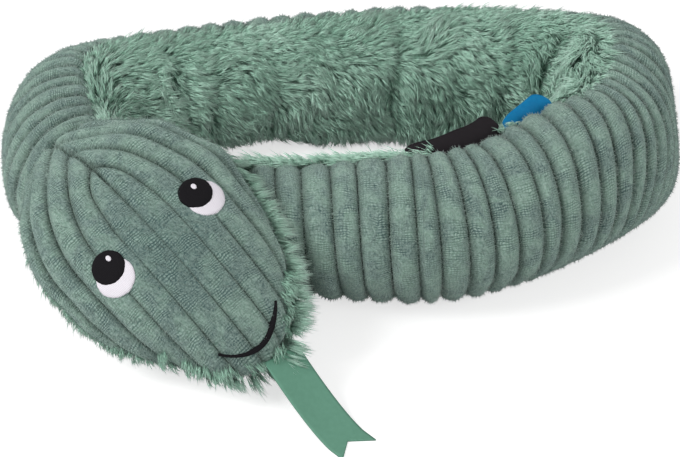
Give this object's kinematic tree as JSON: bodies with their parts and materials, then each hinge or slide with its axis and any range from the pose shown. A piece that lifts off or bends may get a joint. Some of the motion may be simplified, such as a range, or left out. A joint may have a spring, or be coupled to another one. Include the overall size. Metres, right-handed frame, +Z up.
{
  "type": "stuffed toy snake",
  "caption": "Stuffed toy snake lying in a loop: ribbed cloth outside, long fur inside, flat egg-shaped head with embroidered eyes and smile, forked ribbon tongue.",
  "frame": {"origin": "centre of the bounding box, on the floor that the toy lies on", "axes": "+Z up, +X to the right of the picture, +Y away from its viewer"},
  "size_m": [0.2634, 0.233, 0.0708],
  "materials": {
    "ribbed_cloth": "soft wide-ribbed pile cloth, grey-green",
    "long_fur": "long shaggy pile, sea green",
    "stuffing": "loose white fibre filling",
    "white_thread": "satin-stitch embroidery, white",
    "black_thread": "satin-stitch embroidery, black",
    "tongue_ribbon": "plain woven ribbon, green",
    "black_label": "woven satin label, black, bare",
    "blue_label": "woven satin label, blue, bare"
  },
  "bodies": {
    "back": {"back_cover": "ribbed_cloth", "back_fur": "long_fur", "back_filling": "stuffing"},
    "corner": {"corner_cover": "ribbed_cloth", "corner_fur": "long_fur", "corner_filling": "stuffing"},
    "right": {"right_cover": "ribbed_cloth", "right_fur": "long_fur", "right_filling": "stuffing"},
    "front": {"front_cover": "ribbed_cloth", "front_fur": "long_fur", "front_filling": "stuffing"},
    "tail": {"tail_cover": "ribbed_cloth", "tail_fur": "long_fur", "tail_filling": "stuffing"},
    "left": {"left_cover": "ribbed_cloth", "left_fur": "long_fur", "left_filling": "stuffing"},
    "neck": {"neck_cover": "ribbed_cloth", "neck_fur": "long_fur", "neck_filling": "stuffing"},
    "head": {"head_top_cover": "ribbed_cloth", "head_under_cover": "long_fur", "head_filling": "stuffing", "near_eye_white": "white_thread", "near_eye_pupil": "black_thread", "near_eye_spot": "white_thread", "far_eye_white": "white_thread", "far_eye_pupil": "black_thread", "far_eye_spot": "white_thread", "mouth_line": "black_thread"},
    "tongue": {"tongue_ribbon": "tongue_ribbon"},
    "black_tag": {"black_label": "black_label"},
    "blue_tag": {"blue_label": "blue_label"}
  },
  "joints": [
    {"name": "tail_bend", "type": "hinge", "parent": "front", "child": "tail", "pos_m": [-0.01454, 0.00765, 0], "axis": [0, 0, -1], "range_deg": [0, 8]},
    {"name": "front_bend", "type": "hinge", "parent": "right", "child": "front", "pos_m": [0.05283, 0.01709, 0], "axis": [0, 0, -1], "range_deg": [0, 6]},
    {"name": "right_bend", "type": "hinge", "parent": "corner", "child": "right", "pos_m": [0.0756, 0.04947, 0], "axis": [0, 0, -1], "range_deg": [0, 5]},
    {"name": "corner_bend", "type": "hinge", "parent": "back", "child": "corner", "pos_m": [0.0701, 0.05917, 0], "axis": [0, 0, -1], "range_deg": [0, 4]},
    {"name": "left_bend", "type": "hinge", "parent": "back", "child": "left", "pos_m": [-0.09295, 0.09376, 0], "axis": [0, 0, -1], "range_deg": [0, 25]},
    {"name": "neck_turn", "type": "hinge", "parent": "left", "child": "neck", "pos_m": [-0.13195, 0.03937, 0], "axis": [0, 0, -1], "range_deg": [0, 20]},
    {"name": "head_lift", "type": "hinge", "parent": "neck", "child": "head", "pos_m": [-0.0934, 0.0025, 0.05133], "axis": [-0.788, -0.6157, 0], "range_deg": [0, 45]},
    {"name": "tongue_flop", "type": "hinge", "parent": "head", "child": "tongue", "pos_m": [-0.02485, -0.08434, 0.01665], "axis": [-0.6856, -0.728, 0], "range_deg": [0, 60]},
    {"name": "black_label_flap", "type": "hinge", "parent": "front", "child": "black_tag", "pos_m": [0.04228, -0.00177, 0.05187], "axis": [0.9648, 0.263, 0], "range_deg": [0, 40]},
    {"name": "blue_label_flap", "type": "hinge", "parent": "right", "child": "blue_tag", "pos_m": [0.07002, 0.01706, 0.05106], "axis": [0.7453, 0.6667, 0], "range_deg": [0, 40]}
  ]
}
